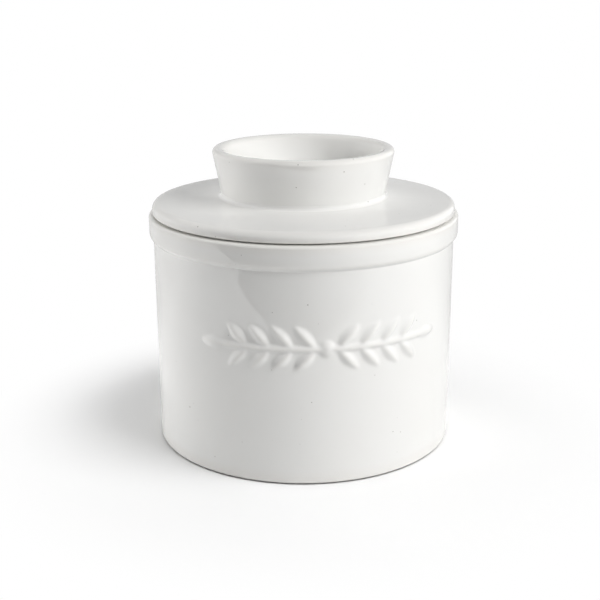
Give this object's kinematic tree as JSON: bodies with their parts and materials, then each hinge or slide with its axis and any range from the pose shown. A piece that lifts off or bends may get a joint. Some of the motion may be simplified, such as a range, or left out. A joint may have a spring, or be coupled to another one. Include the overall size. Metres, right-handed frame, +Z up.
{
  "type": "butter keeper",
  "caption": "Round glazed ceramic butter keeper: a crock for water and a lift-off lid with a hollow flared ring knob above and a cup for the butter below.",
  "frame": {"origin": "centre of the crock's foot ring, on the surface that it stands on", "axes": "+Z up along the axis of the round body, -Y towards the front that carries the leaf moulding"},
  "size_m": [0.1, 0.1, 0.0957],
  "materials": {
    "white_glaze": "gloss"
  },
  "bodies": {
    "crock": {"crock": "white_glaze"},
    "lid": {"lid_plate": "white_glaze", "knob_ring": "white_glaze", "bell_cup": "white_glaze"}
  },
  "joints": [
    {"name": "lid_lift", "type": "slide", "parent": "crock", "child": "lid", "axis": [0, 0, 1], "range_m": [0, 0.075]}
  ]
}
